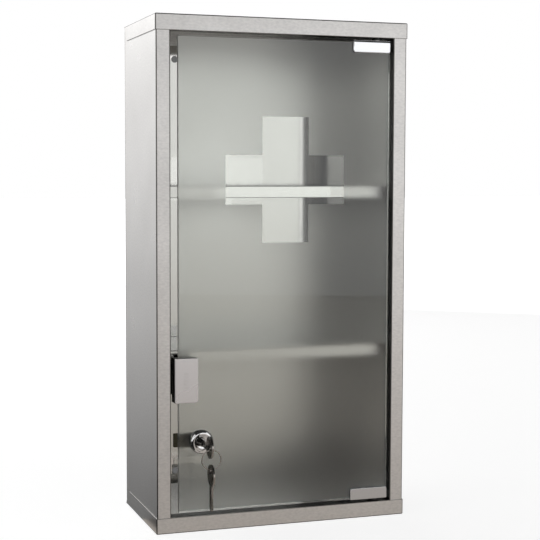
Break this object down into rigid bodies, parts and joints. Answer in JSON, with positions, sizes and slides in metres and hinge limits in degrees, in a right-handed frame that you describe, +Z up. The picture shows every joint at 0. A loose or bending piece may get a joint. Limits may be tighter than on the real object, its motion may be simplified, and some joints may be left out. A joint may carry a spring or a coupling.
{
  "type": "medicine cabinet",
  "caption": "Wall-hung stainless steel medicine cabinet: folded carcass with shelves, frosted glass door on clamp hinges, push plate with touch latch, cam lock with keys.",
  "frame": {"origin": "centre of the carcass underside, half way between the front plane and the wall plane", "axes": "+Z up, +Y towards the wall, +X to the right as seen from the front"},
  "size_m": [0.302, 0.209, 0.58],
  "materials": {
    "stainless": "satin stainless sheet with a fine brushed grain",
    "polished_steel": "polished stainless sheet",
    "frosted_glass": "polished front, blasted inner face, clear cross",
    "chrome": "bright plated",
    "black_plastic": "moulded, lightly textured",
    "nylon": "moulded, black",
    "rubber": "soft black",
    "zinc_steel": "zinc plated"
  },
  "bodies": {
    "cabinet": {"top_cap": "stainless", "bottom_cap": "stainless", "left_side": "stainless", "right_side": "stainless", "back_panel": "stainless", "upper_shelf": "polished_steel", "lower_shelf": "polished_steel", "lock_strike": "polished_steel", "strike_rivet_1": "zinc_steel", "strike_rivet_2": "zinc_steel", "latch_body": "black_plastic", "latch_spring": "zinc_steel", "latch_screw_1": "zinc_steel", "latch_screw_2": "zinc_steel", "upper_hinge_bush": "nylon", "lower_hinge_bush": "nylon"},
    "door": {"door_glass": "frosted_glass", "upper_hinge_clamp": "chrome", "lower_hinge_clamp": "chrome", "upper_clamp_pad": "rubber", "lower_clamp_pad": "rubber", "upper_hinge_pin": "zinc_steel", "lower_hinge_pin": "zinc_steel", "upper_clamp_screw_1": "zinc_steel", "upper_clamp_screw_2": "zinc_steel", "lower_clamp_screw_1": "zinc_steel", "lower_clamp_screw_2": "zinc_steel", "push_plate": "chrome", "push_holder": "black_plastic", "push_strike": "zinc_steel", "push_screw_1": "zinc_steel", "push_screw_2": "zinc_steel", "lock_body": "chrome", "lock_gasket": "rubber", "lock_nut": "zinc_steel"},
    "lock_cylinder": {"lock_plug": "chrome", "lock_cam": "zinc_steel", "cam_screw": "zinc_steel"},
    "key": {"key": "chrome"},
    "key_ring": {"key_ring": "chrome"},
    "spare_key": {"spare_key": "chrome"},
    "latch_plunger": {"latch_plunger": "black_plastic", "latch_magnet": "zinc_steel"}
  },
  "joints": [
    {"name": "door_swing", "type": "hinge", "parent": "cabinet", "child": "door", "pos_m": [0.116, -0.0679, 0.29], "axis": [0, 0, 1], "range_deg": [0, 110]},
    {"name": "lock_turn", "type": "hinge", "parent": "door", "child": "lock_cylinder", "pos_m": [-0.0993, -0.0775, 0.1033], "axis": [0, -1, 0], "range_deg": [0, 90]},
    {"name": "key_pull", "type": "slide", "parent": "lock_cylinder", "child": "key", "axis": [0, -1, 0], "range_m": [-0.007, 0.013]},
    {"name": "ring_swing", "type": "hinge", "parent": "key", "child": "key_ring", "pos_m": [-0.0993, -0.1191, 0.10165], "axis": [-1, 0, 0], "range_deg": [-8, 50]},
    {"name": "spare_key_swing", "type": "hinge", "parent": "key_ring", "child": "spare_key", "pos_m": [-0.0993, -0.1191, 0.07995], "axis": [-1, 0, 0], "range_deg": [-8, 40]},
    {"name": "latch_press", "type": "slide", "parent": "cabinet", "child": "latch_plunger", "axis": [0, 1, 0], "range_m": [0, 0.0035], "stiffness_N_per_m": 400, "springref_m": -0.003, "deforming": ["latch_spring"]}
  ]
}
